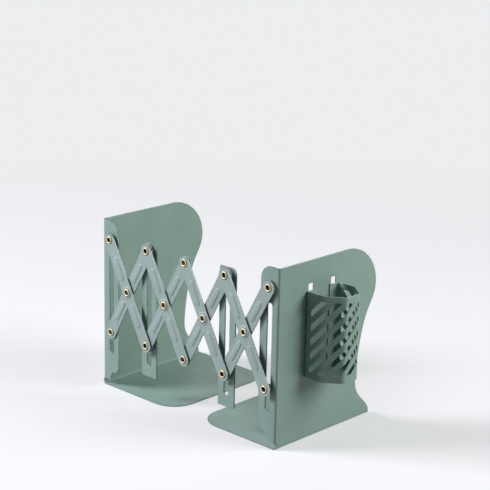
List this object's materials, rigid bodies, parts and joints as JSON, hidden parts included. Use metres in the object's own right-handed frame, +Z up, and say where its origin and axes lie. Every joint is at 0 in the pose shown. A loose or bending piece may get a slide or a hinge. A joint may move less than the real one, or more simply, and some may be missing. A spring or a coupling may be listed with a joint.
{
  "type": "expandable bookend",
  "caption": "Expandable steel bookend: two folded end plates joined by a scissor of crossed links, with slotted uprights and a slotted pen cup.",
  "frame": {"origin": "under the middle of the whole object, at floor level, with the scissor as far open as in the picture", "axes": "+X from the left end plate to the right one, +Y from the scissor in front to the open back where the books go in, +Z up"},
  "size_m": [0.267, 0.141, 0.17],
  "materials": {
    "painted_plate": "satin sage green powder coat on sheet steel",
    "painted_link": "satin sage green powder coat on pressed steel links",
    "eyelet": "pale brass plate, rolled and bright",
    "washer": "warm grey nylon"
  },
  "bodies": {
    "left_end": {"left_end_plate": "painted_plate"},
    "right_end": {"right_end_plate": "painted_plate"},
    "cup": {"pen_cup": "painted_plate"},
    "left_slider": {"left_upright": "painted_plate"},
    "right_slider": {"right_upright": "painted_plate"},
    "front_1": {"front_link_1": "painted_link", "top_eyelet_1": "eyelet", "top_spacer_1": "washer", "middle_eyelet_1": "eyelet", "low_eyelet_2": "eyelet", "low_washer_2": "washer"},
    "front_2": {"front_link_2": "painted_link", "top_eyelet_2": "eyelet", "top_washer_2": "washer", "middle_eyelet_2": "eyelet", "low_eyelet_3": "eyelet"},
    "front_3": {"front_link_3": "painted_link", "top_eyelet_3": "eyelet", "middle_eyelet_3": "eyelet", "low_eyelet_4": "eyelet", "low_washer_4": "washer"},
    "front_4": {"front_link_4": "painted_link", "top_eyelet_4": "eyelet", "top_washer_4": "washer", "middle_eyelet_4": "eyelet", "low_eyelet_5": "eyelet", "low_spacer_5": "washer"},
    "rear_1": {"rear_link_1": "painted_link", "low_eyelet_1": "eyelet"},
    "rear_2": {"rear_link_2": "painted_link"},
    "rear_3": {"rear_link_3": "painted_link"},
    "rear_4": {"rear_link_4": "painted_link", "top_eyelet_5": "eyelet", "top_washer_5": "washer"}
  },
  "joints": [
    {"name": "expand", "type": "hinge", "parent": "left_end", "child": "front_1", "pos_m": [-0.12125, -0.06857, 0.15137], "axis": [0, -1, 0], "range_deg": [-4.2, 51.8]},
    {"name": "cross_1", "type": "hinge", "parent": "front_1", "child": "rear_1", "pos_m": [-0.09535, -0.06757, 0.10427], "axis": [0, -1, 0], "range_deg": [-103.7, 8.5]},
    {"name": "knee_1", "type": "hinge", "parent": "rear_1", "child": "front_2", "pos_m": [-0.06945, -0.06757, 0.15137], "axis": [0, -1, 0], "range_deg": [-8.5, 103.7]},
    {"name": "cross_2", "type": "hinge", "parent": "front_2", "child": "rear_2", "pos_m": [-0.04355, -0.06757, 0.10427], "axis": [0, -1, 0], "range_deg": [-103.7, 8.5]},
    {"name": "knee_2", "type": "hinge", "parent": "rear_2", "child": "front_3", "pos_m": [-0.01765, -0.06757, 0.15137], "axis": [0, -1, 0], "range_deg": [-8.5, 103.7]},
    {"name": "cross_3", "type": "hinge", "parent": "front_3", "child": "rear_3", "pos_m": [0.00825, -0.06757, 0.10427], "axis": [0, -1, 0], "range_deg": [-103.7, 8.5]},
    {"name": "knee_3", "type": "hinge", "parent": "rear_3", "child": "front_4", "pos_m": [0.03415, -0.06757, 0.15137], "axis": [0, -1, 0], "range_deg": [-8.5, 103.7]},
    {"name": "cross_4", "type": "hinge", "parent": "front_4", "child": "rear_4", "pos_m": [0.06005, -0.06757, 0.10427], "axis": [0, -1, 0], "range_deg": [-103.7, 8.5]},
    {"name": "right_pivot", "type": "hinge", "parent": "rear_4", "child": "right_end", "pos_m": [0.08595, -0.06522, 0.15137], "axis": [0, -1, 0], "range_deg": [-4.3, 51.9]},
    {"name": "left_upright_pivot", "type": "hinge", "parent": "front_2", "child": "left_slider", "pos_m": [-0.06945, -0.06522, 0.15137], "axis": [0, -1, 0], "range_deg": [-51.9, 4.3]},
    {"name": "right_upright_pivot", "type": "hinge", "parent": "front_4", "child": "right_slider", "pos_m": [0.03415, -0.06522, 0.15137], "axis": [0, -1, 0], "range_deg": [-51.9, 4.3]},
    {"name": "cup_lift", "type": "slide", "parent": "right_end", "child": "cup", "axis": [0, 0, 1], "range_m": [0, 0.009]}
  ],
  "couplings": [
    {"joint": "cross_1", "follows": "expand", "ratio": -2},
    {"joint": "knee_1", "follows": "expand", "ratio": 2},
    {"joint": "cross_2", "follows": "expand", "ratio": -2},
    {"joint": "knee_2", "follows": "expand", "ratio": 2},
    {"joint": "cross_3", "follows": "expand", "ratio": -2},
    {"joint": "knee_3", "follows": "expand", "ratio": 2},
    {"joint": "cross_4", "follows": "expand", "ratio": -2},
    {"joint": "right_pivot", "follows": "expand", "ratio": 1},
    {"joint": "left_upright_pivot", "follows": "expand", "ratio": -1},
    {"joint": "right_upright_pivot", "follows": "expand", "ratio": -1}
  ]
}
